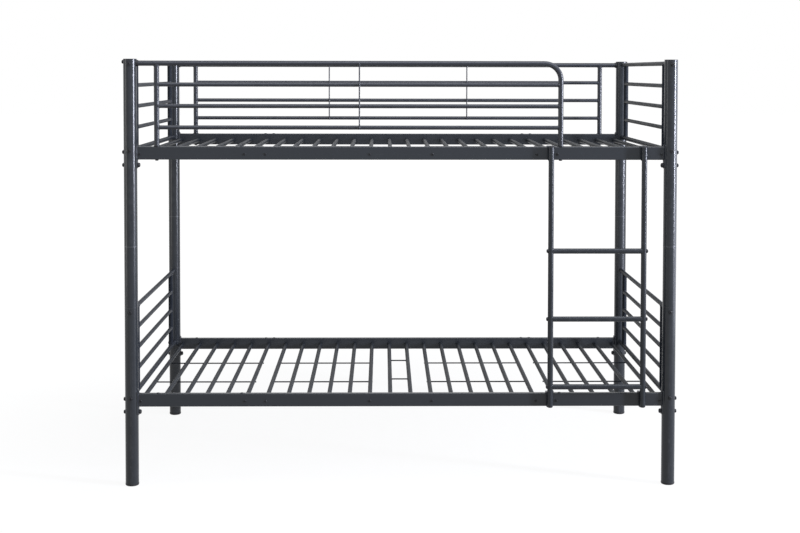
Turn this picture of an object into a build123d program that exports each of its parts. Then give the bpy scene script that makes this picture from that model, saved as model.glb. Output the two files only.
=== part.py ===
from build123d import *
import os

# Twin-over-twin metal bunk bed of round steel tube, in millimetres.
# The origin is on the floor, midway between the four posts.
# +X runs along the bed to the ladder end, +Y runs from the ladder side to the far side, +Z is up.

os.makedirs("parts", exist_ok=True)

# Places of the four post axes, and the levels of the two beds
post_spacing_x = 1930
post_spacing_y = 1000
lower_rail_top = 332
bed_pitch = 887
post_above_rail = 310
middle_tube_length = 217.6

# Posts, the spigots that join them, and their plastic ends
post_radius = 23.8
post_wall = 1.2
spigot_reach = 60
spigot_wall = 2
spigot_clearance = 0.3
collar_thickness = 1.2
foot_height = 9
foot_lip = 0.5
foot_round = 5
foot_stem = 25
cap_thickness = 2
cap_lip = 0.2
cap_round = 0.6
cap_stem = 4
stem_clearance = 0.2

# Clearances that every welded or fitted joint shares
weld_gap = 0.1
seat_gap = 0.1
thread_clearance = 0.05
overrun = 5

# Fasteners: M6 bolts with round socket heads, arc washers under them, and M5 slat screws
bolt_radius = 3
bolt_hole_clearance = 0.3
head_radius = 6.3
head_height = 4
head_round = 2.8
socket_radius = 2.3
socket_depth = 2.2
washer_radius = 7.5
washer_crest = 1.4
cross_gap = 0.3
insert_length = 14
insert_setback = 2
rail_nut_length = 4.5
rail_nut_radius = 6
bolt_end = 1
dome_nut_radius = 8.3
dome_nut_height = 8
dome_nut_round = 4.6
dome_nut_bore = 6.4
screw_radius = 2.5
screw_head_radius = 4.8
screw_head_height = 2.4
screw_head_round = 1.5

# Side rails with a saddle bracket welded to each end
rail_height = 47
rail_thickness = 20
rail_wall = 1.2
rail_corner = 3
bracket_thickness = 3
bracket_width = 30
bracket_above_rail = 7
bracket_below_bolt = 11
bracket_low_round = 11
bracket_top_round = 3
bracket_bolt_spacing = 46.3

# End panels: a ladder of bars between two uprights, hung between a front and a back post
panel_below_rail_top = 14
panel_below_post_end = 12
panel_top_radius = 8
panel_bottom_radius = 9
panel_bar_radius = 7.5
bar_pitch_share = 0.245
panel_middle_bar_share = 0.495
panel_side_radius = 9.5
panel_side_inset = 112
panel_wall = 1

# Slats in welded groups
slat_end_inset = 33.75
slat_radius = 8
slat_wall = 0.8
slat_below_rail_top = 27
slat_let_in = 3
slat_hole_clearance = 0.15
wire_radius = 2.5
wire_offset_y = 165
group_sizes = (6, 6, 2, 6, 6)

# Guards above the upper bed
guard_radius = 9.5
guard_wall = 1
guard_below_panel_bar = 1.8
guard_bar_radius = 7.5
guard_middle_bar_share = 0.4862
guard_bend_radius = 58
guard_collar_radius = 11.5
guard_collar_length = 5
guard_ring_height = 2
guard_hole_outer_inset = 94
guard_hole_inner_inset = 394.5
spare_hole_inset = 429
front_wire_x = -149
back_wire_x = 296
plug_head_radius = 5.5
plug_head_height = 1.6
plug_head_round = 0.8
plug_stem_radius = 3.2
plug_stem_length = 6

# Ladder: two stiles that hook over both front rails
ladder_inset = 264
ladder_spacing = 332.5
stile_radius = 10
stile_wall = 1.2
stile_above_rail = 3
stile_below_rail_top = 48.5
stile_cap_height = 5
stile_cap_stem = 12
rung_radius = 9.5
rung_wall = 1.2
rung_pitch = 244.3
top_rung_below_rail_top = 372
hook_width = 26
hook_thickness = 4
hook_bend = 2
hook_corner = 9
hook_front_gap = 0.3
hook_back_gap = 1
hook_back_leg = 16
hook_below_rail = 4
lower_hook_gap = 1

# Sizes that follow from those above
post_x = post_spacing_x / 2
post_y = post_spacing_y / 2
post_bore = post_radius - post_wall
stem_radius = post_bore - stem_clearance
spigot_radius = post_bore - spigot_clearance
upper_rail_top = lower_rail_top + bed_pitch
lower_seam = lower_rail_top + post_above_rail
middle_bottom = lower_seam + collar_thickness
middle_top = middle_bottom + middle_tube_length
upper_seam = middle_top + collar_thickness
post_end = upper_rail_top + post_above_rail
bolt_hole_radius = bolt_radius + bolt_hole_clearance
bolt_step = 2 * bolt_radius + cross_gap
thread_radius = bolt_radius + thread_clearance
bracket_inner = post_radius + seat_gap
bracket_outer = bracket_inner + bracket_thickness
bracket_bolt_drop = panel_below_rail_top + bolt_step
bracket_low_drop = bracket_bolt_drop + bracket_bolt_spacing
panel_span = post_above_rail + panel_below_rail_top - panel_below_post_end
bar_pitch = panel_span * bar_pitch_share
panel_rise = panel_span - panel_below_rail_top
panel_bolt_rise = panel_rise - bolt_step / 2
guard_bolt_rise = panel_rise + bolt_step / 2
guard_rise = panel_rise - guard_below_panel_bar
rail_face = rail_thickness / 2
slat_half_length = post_y - rail_face - seat_gap
slat_count = sum(group_sizes)
slat_pitch = (post_spacing_x - 2 * slat_end_inset) / (slat_count - 1)
panel_side_y = post_y - panel_side_inset
stile_y = -post_y - rail_face - hook_front_gap - hook_thickness - weld_gap - stile_radius
guard_hole_outer_x = post_x - guard_hole_outer_inset
guard_hole_inner_x = post_x - guard_hole_inner_inset
spare_hole_x = post_x - spare_hole_inset
ladder_centre_x = post_x - ladder_inset
stile_xs = {
    "left": ladder_centre_x - ladder_spacing / 2,
    "right": ladder_centre_x + ladder_spacing / 2,
}
corners = {
    "front_left": (-post_x, -post_y),
    "front_right": (post_x, -post_y),
    "back_left": (-post_x, post_y),
    "back_right": (post_x, post_y),
}
rail_tops = {"lower": lower_rail_top, "upper": upper_rail_top}
plug_xs = {
    ("lower", -1): (-guard_hole_outer_x, -guard_hole_inner_x, guard_hole_inner_x),
    ("lower", 1): (
        -guard_hole_outer_x,
        -guard_hole_inner_x,
        -spare_hole_x,
        spare_hole_x,
        guard_hole_inner_x,
        guard_hole_outer_x,
    ),
    ("upper", -1): (-guard_hole_inner_x,),
    ("upper", 1): (-guard_hole_inner_x, -spare_hole_x, spare_hole_x, guard_hole_inner_x),
}
guard_feet = (
    (-guard_hole_outer_x, -post_y),
    (guard_hole_inner_x, -post_y),
    (-guard_hole_outer_x, post_y),
    (guard_hole_outer_x, post_y),
)


def along_x(x, y, z, way=1):
    """A plane whose normal runs along X, with its own x axis pointing up."""
    return Plane(origin=(x, y, z), x_dir=(0, 0, 1), z_dir=(way, 0, 0))


def along_y(x, y, z, way=1):
    """A plane whose normal runs along Y, with its own x axis pointing up."""
    return Plane(origin=(x, y, z), x_dir=(0, 0, 1), z_dir=(0, way, 0))


def along_z(x, y, z, way=1):
    """A plane whose normal runs up, or down with way -1."""
    return Plane(origin=(x, y, z), x_dir=(1, 0, 0), z_dir=(0, 0, way))


def sign(value):
    """-1 for the front or left side, 1 for the back or right side."""
    return -1 if value < 0 else 1


def rod(plane, length, radius, mode=Mode.ADD):
    """A round bar, or with Mode.SUBTRACT a round hole, from the plane along its normal."""
    with BuildSketch(plane) as disc:
        Circle(radius)
    extrude(disc.sketch, amount=length, mode=mode)


def tube(plane, length, radius, wall):
    """A round tube from the plane along its normal."""
    with BuildSketch(plane) as ring:
        Circle(radius)
        Circle(radius - wall, mode=Mode.SUBTRACT)
    extrude(ring.sketch, amount=length)


def insert(plane, radius, hole_radius, length=insert_length, hole_rise=0):
    """A threaded insert that fills a tube's end; hole_rise lifts its hole along the plane's own X."""
    with BuildSketch(plane) as ring:
        Circle(radius)
        with Locations((hole_rise, 0)):
            Circle(hole_radius, mode=Mode.SUBTRACT)
    extrude(ring.sketch, amount=length)


def save(builder, name):
    """Labels a finished piece and writes it under its name."""
    builder.part.label = name
    export_step(builder.part, f"parts/{name}.step")


def slat_places():
    """The slats' places along the bed, one tuple for each welded group."""
    groups = []
    first = 0
    for size in group_sizes:
        numbers = range(first, first + size)
        groups.append(tuple((n - (slat_count - 1) / 2) * slat_pitch for n in numbers))
        first += size
    return groups


slat_groups = slat_places()
screwed_slats = [x for group in slat_groups if len(group) > 2 for x in (group[0], group[-1])]
middle_slats = [x for group in slat_groups if len(group) == 2 for x in group]


# A bolt lies along its own Z, with its head's underside at zero and its shank going up.
# Its own X is the direction in which a post that it goes through runs.
def make_bolt(length):
    with BuildPart() as bolt:
        rod(along_z(0, 0, 0), length, bolt_radius)
        rod(along_z(0, 0, 0, -1), head_height, head_radius)
        fillet(bolt.edges().filter_by(GeomType.CIRCLE).group_by(Axis.Z)[0], head_round)
        with BuildSketch(along_z(0, 0, -head_height)):
            RegularPolygon(socket_radius, 6)
        extrude(amount=socket_depth, mode=Mode.SUBTRACT)
    return bolt.part


def make_arc_washer(seat_radius):
    """A washer, flat on top at zero, that is hollowed to sit on a post-like round."""
    with BuildPart() as washer:
        rod(along_z(0, 0, 0), seat_radius, washer_radius)
        rod(along_z(0, 0, 0), seat_radius, bolt_hole_radius, mode=Mode.SUBTRACT)
        seat = along_x(-washer_radius - overrun, 0, washer_crest + seat_radius)
        rod(seat, 2 * (washer_radius + overrun), seat_radius + seat_gap, mode=Mode.SUBTRACT)
    return washer.part


def make_dome_nut(seat_radius):
    """A closed nut under a plastic dome, hollowed to sit on a round of the given radius."""
    with BuildPart() as nut:
        rod(along_z(0, 0, -dome_nut_round), dome_nut_height + dome_nut_round, dome_nut_radius)
        fillet(nut.edges().filter_by(GeomType.CIRCLE).group_by(Axis.Z)[-1], dome_nut_round)
        seat = along_x(-dome_nut_radius - overrun, 0, -seat_radius)
        rod(seat, 2 * (dome_nut_radius + overrun), seat_radius + seat_gap, mode=Mode.SUBTRACT)
        rod(along_z(0, 0, -overrun), overrun + dome_nut_bore, thread_radius, mode=Mode.SUBTRACT)
    return nut.part


def make_screw(length):
    """A slat screw along its own Z, with its head's underside at zero."""
    with BuildPart() as screw:
        rod(along_z(0, 0, 0), length, screw_radius)
        rod(along_z(0, 0, 0, -1), screw_head_height, screw_head_radius)
        fillet(screw.edges().filter_by(GeomType.CIRCLE).group_by(Axis.Z)[0], screw_head_round)
    return screw.part


def build_post(name, x, y, bottom, top, rail_top, guard_hole):
    """A post tube, drilled along Y for the end panel and along X for the rail and the guard."""
    across = 2 * (post_radius + overrun)
    along_x_holes = [rail_top - bracket_bolt_drop, rail_top - bracket_low_drop]
    if guard_hole:
        along_x_holes.append(rail_top + guard_bolt_rise)
    with BuildPart() as post:
        tube(along_z(x, y, bottom), top - bottom, post_radius, post_wall)
        for z in (rail_top - panel_below_rail_top, rail_top + panel_bolt_rise):
            rod(along_y(x, y - across / 2, z), across, bolt_hole_radius, mode=Mode.SUBTRACT)
        for z in along_x_holes:
            rod(along_x(x - across / 2, y, z), across, bolt_hole_radius, mode=Mode.SUBTRACT)
    save(post, name)


def build_spigots(name, seam, cross_bolt_level=None):
    """Four joining tubes, each with a collar that parts the two post tubes."""
    collar_wall = post_radius - spigot_radius + spigot_wall
    with BuildPart() as spigots:
        for x, y in corners.values():
            tube(along_z(x, y, seam - spigot_reach), 2 * spigot_reach, spigot_radius, spigot_wall)
            tube(along_z(x, y, seam), collar_thickness, post_radius, collar_wall)
            if cross_bolt_level is not None:
                hole = along_y(x, y - post_radius, cross_bolt_level)
                rod(hole, 2 * post_radius, bolt_hole_radius, mode=Mode.SUBTRACT)
    save(spigots, name)


def build_foot_caps():
    """Plastic feet, each a rounded cup under its post with a stem inside the tube."""
    with BuildPart() as feet:
        for x, y in corners.values():
            rod(along_z(x, y, 0), foot_height, post_radius + foot_lip)
        fillet(feet.edges().filter_by(GeomType.CIRCLE).group_by(Axis.Z)[0], foot_round)
        for x, y in corners.values():
            rod(along_z(x, y, foot_height), foot_stem, stem_radius)
    save(feet, "foot_caps")


def build_top_caps():
    """Plastic caps that close the four upper posts."""
    with BuildPart() as caps:
        for x, y in corners.values():
            rod(along_z(x, y, post_end), cap_thickness, post_radius + cap_lip)
        fillet(caps.edges().filter_by(GeomType.CIRCLE).group_by(Axis.Z)[-1], cap_round)
        for x, y in corners.values():
            rod(along_z(x, y, post_end, -1), cap_stem, stem_radius)
    save(caps, "top_caps")


def build_panel(name, x, rail_top):
    """An end panel: three thin bars between two uprights, between a bottom and a top bar."""
    low = rail_top - panel_below_rail_top
    high = low + panel_span
    middle = low + panel_span * panel_middle_bar_share
    with BuildPart() as panel:
        for step in (-1, 0, 1):
            bar = along_y(x, -panel_side_y, middle + step * bar_pitch)
            tube(bar, 2 * panel_side_y, panel_bar_radius, panel_wall)
        for y in (-panel_side_y, panel_side_y):
            rod(along_z(x, y, low), panel_span, panel_side_radius + weld_gap, mode=Mode.SUBTRACT)
            tube(along_z(x, y, low), panel_span, panel_side_radius, panel_wall)
        for z, radius in ((low, panel_bottom_radius), (high, panel_top_radius)):
            rod(along_y(x, -post_y, z), 2 * post_y, radius + weld_gap, mode=Mode.SUBTRACT)
            tube(along_y(x, -post_y, z), 2 * post_y, radius, panel_wall)
        for y in (-post_y, post_y):
            post = along_z(x, y, low - panel_span)
            rod(post, 3 * panel_span, post_radius + seat_gap, mode=Mode.SUBTRACT)
    save(panel, name)


def build_rail(name, level, side):
    """A side rail of rectangular tube, with a saddle bracket 0.1 mm off each end as its weld."""
    rail_top = rail_tops[level]
    centre = rail_top - rail_height / 2
    y = side * post_y
    bottom = rail_top - bracket_low_drop - bracket_below_bolt
    height = rail_top + bracket_above_rail - bottom
    with BuildPart() as rail:
        with BuildSketch(along_x(-post_x, y, centre)):
            RectangleRounded(rail_height, rail_thickness, rail_corner)
            offset(amount=-rail_wall, mode=Mode.SUBTRACT)
        extrude(amount=post_spacing_x)
        for x in (-post_x, post_x):
            rod(along_z(x, y, bottom), height, bracket_outer + weld_gap, mode=Mode.SUBTRACT)
        for x in screwed_slats:
            hole = along_y(x, y - rail_thickness, rail_top - slat_below_rail_top)
            rod(hole, 2 * rail_thickness, screw_radius + bolt_hole_clearance, mode=Mode.SUBTRACT)
        for x in middle_slats:
            hole = along_y(x, y, rail_top - slat_below_rail_top, -side)
            rod(hole, rail_thickness, slat_radius + slat_hole_clearance, mode=Mode.SUBTRACT)
        for x in plug_xs[level, side]:
            hole = along_z(x, y, centre)
            rod(hole, rail_height, plug_stem_radius + seat_gap, mode=Mode.SUBTRACT)
        if level == "upper":
            for x in [foot_x for foot_x, foot_y in guard_feet if foot_y == y]:
                hole = along_z(x, y, centre - rail_height)
                rod(hole, 2 * rail_height, bolt_hole_radius, mode=Mode.SUBTRACT)
    brackets = []
    for x in (-post_x, post_x):
        with BuildPart() as bracket:
            with BuildSketch(along_z(x, y, bottom)):
                Circle(bracket_outer)
                Circle(bracket_inner, mode=Mode.SUBTRACT)
            extrude(amount=height)
            with BuildSketch(along_x(x, y, bottom + height / 2, -sign(x))) as outline:
                Rectangle(height, bracket_width)
                fillet(outline.vertices().group_by(Axis.X)[0], bracket_low_round)
                fillet(outline.vertices().group_by(Axis.X)[-1], bracket_top_round)
            extrude(amount=bracket_outer, mode=Mode.INTERSECT)
            for drop in (bracket_bolt_drop, bracket_low_drop):
                hole = along_x(x, y, rail_top - drop, -sign(x))
                rod(hole, bracket_outer + overrun, bolt_hole_radius, mode=Mode.SUBTRACT)
        brackets.append(bracket.part)
    with BuildPart() as welded:
        add(rail.part)
        for bracket in brackets:
            add(bracket)
    save(welded, name)


def build_slats(name, xs, rail_top):
    """A welded group of slats: two thin wires tie them, under them or between a pair of them."""
    z = rail_top - slat_below_rail_top
    pair = len(xs) == 2
    half = slat_half_length
    if pair:
        half = post_y - rail_face + rail_wall + slat_let_in
    with BuildPart() as slats:
        for y in (-wire_offset_y, wire_offset_y):
            if pair:
                rod(along_x(xs[0], y, z), xs[-1] - xs[0], wire_radius)
            else:
                level = z - slat_radius - weld_gap - wire_radius
                start = xs[0] - slat_radius
                rod(along_x(start, y, level), xs[-1] + slat_radius - start, wire_radius)
        for x in xs:
            if pair:
                rod(along_y(x, -half, z), 2 * half, slat_radius + weld_gap, mode=Mode.SUBTRACT)
            tube(along_y(x, -half, z), 2 * half, slat_radius, slat_wall)
    save(slats, name)


def build_slat_screws(name, rail_top):
    """Screws through both rails into the first and the last slat of each group of six."""
    length = rail_thickness + seat_gap + insert_setback + insert_length
    screw = make_screw(length)
    places = []
    for side in (-1, 1):
        for x in screwed_slats:
            start = side * (post_y + rail_face + seat_gap)
            places.append(along_y(x, start, rail_top - slat_below_rail_top, -side).location)
    with BuildPart() as screws:
        with Locations(*places):
            add(screw)
    save(screws, name)


def rail_bolt_planes(rail_top, drop):
    """Planes on the outer faces of the posts, each facing in along X at a bracket's bolt."""
    planes = []
    for x, y in corners.values():
        start = x + sign(x) * (post_radius + washer_crest)
        planes.append(along_x(start, y, rail_top - drop, -sign(x)))
    return planes


def build_rail_bolts(name, rail_top):
    """Two bolts through each post into a rail's bracket, with their arc washers."""
    high_length = washer_crest + post_radius + bracket_outer + weld_gap + rail_nut_length + bolt_end
    low_length = washer_crest + post_radius + bracket_outer + dome_nut_bore - cross_gap
    high_bolt = make_bolt(high_length)
    low_bolt = make_bolt(low_length)
    washer = make_arc_washer(post_radius)
    high_places = [plane.location for plane in rail_bolt_planes(rail_top, bracket_bolt_drop)]
    low_places = [plane.location for plane in rail_bolt_planes(rail_top, bracket_low_drop)]
    with BuildPart() as bolts:
        with Locations(*high_places):
            add(high_bolt)
        with Locations(*low_places):
            add(low_bolt)
        with Locations(*high_places, *low_places):
            add(washer)
    save(bolts, name)


def build_rail_nuts(name, rail_top):
    """The domed nut behind each bracket's lower bolt, under the rail."""
    nut = make_dome_nut(bracket_outer)
    places = []
    for x, y in corners.values():
        start = x - sign(x) * bracket_outer
        places.append(along_x(start, y, rail_top - bracket_low_drop, -sign(x)).location)
    with BuildPart() as nuts:
        with Locations(*places):
            add(nut)
    save(nuts, name)


def panel_bars(rail_top):
    """The level, outer radius and bolt level of an end panel's bottom and top bars."""
    low = rail_top - panel_below_rail_top
    high = rail_top + panel_rise
    return (
        (low, panel_bottom_radius, low),
        (high, panel_top_radius, rail_top + panel_bolt_rise),
    )


def build_panel_bolts(name, rail_top):
    """Bolts along Y through each post into the ends of an end panel's bottom and top bars."""
    length = washer_crest + 2 * post_radius + seat_gap + insert_setback + insert_length
    bolt = make_bolt(length)
    washer = make_arc_washer(post_radius)
    places = []
    for x, y in corners.values():
        start = y + sign(y) * (post_radius + washer_crest)
        for z, radius, bolt_z in panel_bars(rail_top):
            places.append(along_y(x, start, bolt_z, -sign(y)).location)
    with BuildPart() as bolts:
        with Locations(*places):
            add(bolt)
        with Locations(*places):
            add(washer)
    save(bolts, name)


def build_inserts(name, level):
    """The threaded pieces sealed inside bar, rail and slat ends, and in the guards' ends."""
    rail_top = rail_tops[level]
    with BuildPart() as inserts:
        for x, y in corners.values():
            for z, radius, bolt_z in panel_bars(rail_top):
                start = y - sign(y) * (post_radius + seat_gap + insert_setback)
                bar_end = along_y(x, start, z, -sign(y))
                bore = radius - panel_wall - seat_gap
                insert(bar_end, bore, thread_radius, hole_rise=bolt_z - z)
            start = x - sign(x) * (bracket_outer + weld_gap)
            block = along_x(start, y, rail_top - bracket_bolt_drop, -sign(x))
            insert(block, rail_nut_radius, thread_radius, rail_nut_length)
            for slat_x in screwed_slats:
                if sign(slat_x) == sign(x):
                    start = sign(y) * (slat_half_length - insert_setback)
                    plane = along_y(slat_x, start, rail_top - slat_below_rail_top, -sign(y))
                    screw_hole = screw_radius + thread_clearance
                    insert(plane, slat_radius - slat_wall - seat_gap, screw_hole)
        if level == "upper":
            bore = guard_radius - guard_wall - seat_gap
            for x, y in guard_feet:
                start = rail_top + guard_ring_height + insert_setback
                insert(along_z(x, y, start), bore, thread_radius)
            for x, y in guard_ends:
                start = x - sign(x) * (post_radius + seat_gap + guard_collar_length + insert_setback)
                guard_end = along_x(start, y, guard_level, -sign(x))
                insert(guard_end, bore, thread_radius, hole_rise=guard_bolt_rise - guard_rise)
    save(inserts, name)


def build_plugs(name, level):
    """Plastic plugs in the rail holes that no guard uses."""
    rail_top = rail_tops[level]
    with BuildPart() as plugs:
        for side in (-1, 1):
            for x in plug_xs[level, side]:
                rod(along_z(x, side * post_y, rail_top), plug_head_height, plug_head_radius)
        fillet(plugs.edges().filter_by(GeomType.CIRCLE).group_by(Axis.Z)[-1], plug_head_round)
        for side in (-1, 1):
            for x in plug_xs[level, side]:
                rod(along_z(x, side * post_y, rail_top, -1), plug_stem_length, plug_stem_radius)
    save(plugs, name)


guard_ends = ((-post_x, -post_y), (-post_x, post_y), (post_x, post_y))
guard_level = upper_rail_top + guard_rise
guard_foot_level = upper_rail_top + guard_ring_height
guard_start = post_radius + seat_gap + guard_collar_length


def guard_infill(xs, wires, y):
    """Three bars between uprights at xs, the uprights that xs gives, and the thin wires."""
    middle = upper_rail_top + guard_rise * guard_middle_bar_share
    for step in (-1, 0, 1):
        bar = along_x(xs[0], y, middle + step * bar_pitch)
        tube(bar, xs[-1] - xs[0], guard_bar_radius, guard_wall)
    for x in xs:
        upright = along_z(x, y, guard_foot_level)
        rod(upright, guard_level - guard_foot_level, guard_radius + weld_gap, mode=Mode.SUBTRACT)
    low = middle - bar_pitch - guard_bar_radius
    front = y - guard_bar_radius - weld_gap - wire_radius
    for x in wires:
        rod(along_z(x, front, low), guard_level - low, wire_radius)
    top = along_x(xs[0] - overrun, y, guard_level)
    rod(top, xs[-1] - xs[0] + 2 * overrun, guard_radius + weld_gap, mode=Mode.SUBTRACT)


def guard_upright(x, y):
    """One upright of a guard, from its foot ring to under the top tube."""
    with BuildPart() as upright:
        tube(along_z(x, y, guard_foot_level), guard_level - guard_foot_level, guard_radius, guard_wall)
        top = along_x(x - post_radius, y, guard_level)
        rod(top, 2 * post_radius, guard_radius + weld_gap, mode=Mode.SUBTRACT)
    return upright.part


def build_front_guard_frame():
    """The front guard's long tube, bent down at its open end to stand on the rail."""
    turn = guard_bend_radius
    start = (-post_x + guard_start, -post_y, guard_level)
    bend_start = (guard_hole_inner_x - turn, -post_y, guard_level)
    bend_end = (guard_hole_inner_x, -post_y, guard_level - turn)
    foot = (guard_hole_inner_x, -post_y, guard_foot_level)
    with BuildPart() as frame:
        with BuildLine() as path:
            Line(start, bend_start)
            TangentArc(bend_start, bend_end, tangent=(1, 0, 0))
            Line(bend_end, foot)
        with BuildSketch(along_x(*start)):
            Circle(guard_radius)
            Circle(guard_radius - guard_wall, mode=Mode.SUBTRACT)
        sweep(path=path.wires()[0])
    save(frame, "front_guard_frame")


def build_front_guard_infill():
    """The front guard's inner upright, its three bars and its wire."""
    xs = (-guard_hole_outer_x, guard_hole_inner_x)
    upright = guard_upright(xs[0], -post_y)
    with BuildPart() as infill:
        guard_infill(xs, (front_wire_x,), -post_y)
        add(upright)
    save(infill, "front_guard_infill")


def build_back_guard():
    """The back guard: a tube from post to post on two uprights, with three bars and two wires."""
    xs = (-guard_hole_outer_x, guard_hole_outer_x)
    uprights = [guard_upright(x, post_y) for x in xs]
    with BuildPart() as guard:
        guard_infill(xs, (-back_wire_x, back_wire_x), post_y)
        for upright in uprights:
            add(upright)
        top = along_x(-post_x + guard_start, post_y, guard_level)
        tube(top, 2 * (post_x - guard_start), guard_radius, guard_wall)
    save(guard, "back_guard")


def build_guard_bolts():
    """Bolts through three posts into the guards' tubes, and up through the rails into their feet."""
    post_length = washer_crest + post_radius + guard_start + insert_setback + insert_length
    rail_length = rail_height + guard_ring_height + insert_setback + insert_length
    post_bolt = make_bolt(post_length)
    rail_bolt = make_bolt(rail_length)
    washer = make_arc_washer(post_radius)
    post_places = []
    for x, y in guard_ends:
        start = x + sign(x) * (post_radius + washer_crest)
        bolt_level = upper_rail_top + guard_bolt_rise
        post_places.append(along_x(start, y, bolt_level, -sign(x)).location)
    rail_bottom = upper_rail_top - rail_height
    rail_places = [along_z(x, y, rail_bottom).location for x, y in guard_feet]
    with BuildPart() as bolts:
        with Locations(*post_places):
            add(post_bolt)
        with Locations(*post_places):
            add(washer)
        with Locations(*rail_places):
            add(rail_bolt)
    save(bolts, "guard_bolts")


def build_guard_spacers():
    """Plastic collars between posts and guard tubes, and rings under the guards' feet."""
    with BuildPart() as spacers:
        for x, y in guard_ends:
            rod(along_x(x, y, guard_level, -sign(x)), guard_start - seat_gap, guard_collar_radius)
            bolt_way = along_x(x, y, upper_rail_top + guard_bolt_rise, -sign(x))
            rod(bolt_way, guard_start, bolt_hole_radius, mode=Mode.SUBTRACT)
            post = along_z(x, y, guard_level - post_radius)
            rod(post, 2 * post_radius, post_radius + seat_gap, mode=Mode.SUBTRACT)
        for x, y in guard_feet:
            wall = guard_collar_radius - bolt_hole_radius
            tube(along_z(x, y, upper_rail_top), guard_ring_height, guard_collar_radius, wall)
    save(spacers, "guard_spacers")


# The ladder's own levels
stile_top = upper_rail_top + stile_above_rail
stile_bottom = lower_rail_top - stile_below_rail_top
rung_levels = [upper_rail_top - top_rung_below_rail_top - n * rung_pitch for n in range(3)]


def build_stile(name, x):
    """One ladder stile, drilled along X for the rungs' bolts."""
    length = stile_top - stile_bottom - 2 * stile_cap_height
    with BuildPart() as stile:
        tube(along_z(x, stile_y, stile_bottom + stile_cap_height), length, stile_radius, stile_wall)
        for z in rung_levels:
            hole = along_x(x - 2 * stile_radius, stile_y, z)
            rod(hole, 2 * 2 * stile_radius, bolt_hole_radius, mode=Mode.SUBTRACT)
    save(stile, name)


def build_stile_caps():
    """Rounded plastic ends for the two stiles, top and bottom."""
    inner = stile_radius - stile_wall - stem_clearance
    with BuildPart() as caps:
        for x in stile_xs.values():
            rod(along_z(x, stile_y, stile_bottom), stile_cap_height, stile_radius)
            rod(along_z(x, stile_y, stile_top, -1), stile_cap_height, stile_radius)
        ends = caps.edges().filter_by(GeomType.CIRCLE).group_by(Axis.Z)
        fillet(ends[0] + ends[-1], stile_cap_height - weld_gap)
        for x in stile_xs.values():
            rod(along_z(x, stile_y, stile_bottom + stile_cap_height), stile_cap_stem, inner)
            rod(along_z(x, stile_y, stile_top - stile_cap_height, -1), stile_cap_stem, inner)
    save(caps, "ladder_end_caps")


def build_rung(name, z):
    """A rung between the stiles, with a threaded insert in each end."""
    left, right = stile_xs["left"], stile_xs["right"]
    reach = stile_radius + seat_gap + insert_setback
    with BuildPart() as rung:
        tube(along_x(left, stile_y, z), right - left, rung_radius, rung_wall)
        for x in (left, right):
            stile = along_z(x, stile_y, z - 2 * rung_radius)
            rod(stile, 2 * 2 * rung_radius, stile_radius + seat_gap, mode=Mode.SUBTRACT)
        for x, way in ((left, 1), (right, -1)):
            bore = rung_radius - rung_wall - seat_gap
            insert(along_x(x + way * reach, stile_y, z, way), bore, thread_radius)
    save(rung, name)


def build_rung_bolts():
    """Bolts through the stiles into the rungs' ends, with arc washers."""
    length = washer_crest + 2 * stile_radius + seat_gap + insert_setback + insert_length
    bolt = make_bolt(length)
    washer = make_arc_washer(stile_radius)
    places = []
    for z in rung_levels:
        for x, way in ((stile_xs["left"], 1), (stile_xs["right"], -1)):
            start = x - way * (stile_radius + washer_crest)
            places.append(along_x(start, stile_y, z, way).location)
    with BuildPart() as bolts:
        with Locations(*places):
            add(bolt)
        with Locations(*places):
            add(washer)
    save(bolts, "ladder_rung_bolts")


def build_hooks():
    """Bent strips on the stiles' backs, which hook over the upper and the lower front rail."""
    front = -post_y - rail_face - hook_front_gap
    back = -post_y + rail_face + hook_back_gap
    with BuildPart() as hooks:
        for x in stile_xs.values():
            for seat, rail_top in (
                (upper_rail_top, upper_rail_top),
                (lower_rail_top + lower_hook_gap, lower_rail_top),
            ):
                top = seat + hook_thickness
                low = rail_top - rail_height - hook_below_rail
                back_low = rail_top - hook_back_leg
                side = Plane(origin=(x - hook_width / 2, 0, 0), x_dir=(0, 1, 0), z_dir=(1, 0, 0))
                with BuildSketch(side) as strip:
                    with BuildLine():
                        Polyline(
                            (front - hook_thickness, low),
                            (front - hook_thickness, top),
                            (back + hook_thickness, top),
                            (back + hook_thickness, back_low),
                            (back, back_low),
                            (back, seat),
                            (front, seat),
                            (front, low),
                            close=True,
                        )
                    make_face()
                    fillet(strip.vertices().group_by(Axis.Y)[-1], hook_bend + hook_thickness)
                    fillet(strip.vertices().group_by(Axis.Y)[-2], hook_bend)
                extrude(amount=hook_width)
        tips = hooks.edges().filter_by(Axis.Y).filter_by(lambda edge: edge.center().Y < front)
        fillet(tips, hook_corner)
    save(hooks, "ladder_hooks")


# The pieces, from the floor up
for corner, (corner_x, corner_y) in corners.items():
    build_post(
        f"lower_post_{corner}", corner_x, corner_y, foot_height, lower_seam, lower_rail_top, False
    )
    build_post(
        f"upper_post_{corner}",
        corner_x,
        corner_y,
        upper_seam,
        post_end,
        upper_rail_top,
        (corner_x, corner_y) in guard_ends,
    )
    with BuildPart() as middle_tube:
        tube(along_z(corner_x, corner_y, middle_bottom), middle_tube_length, post_radius, post_wall)
    save(middle_tube, f"middle_tube_{corner}")

build_foot_caps()
build_top_caps()
build_spigots("lower_spigots", lower_seam, lower_rail_top + panel_bolt_rise)
build_spigots("upper_spigots", middle_top)

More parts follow.
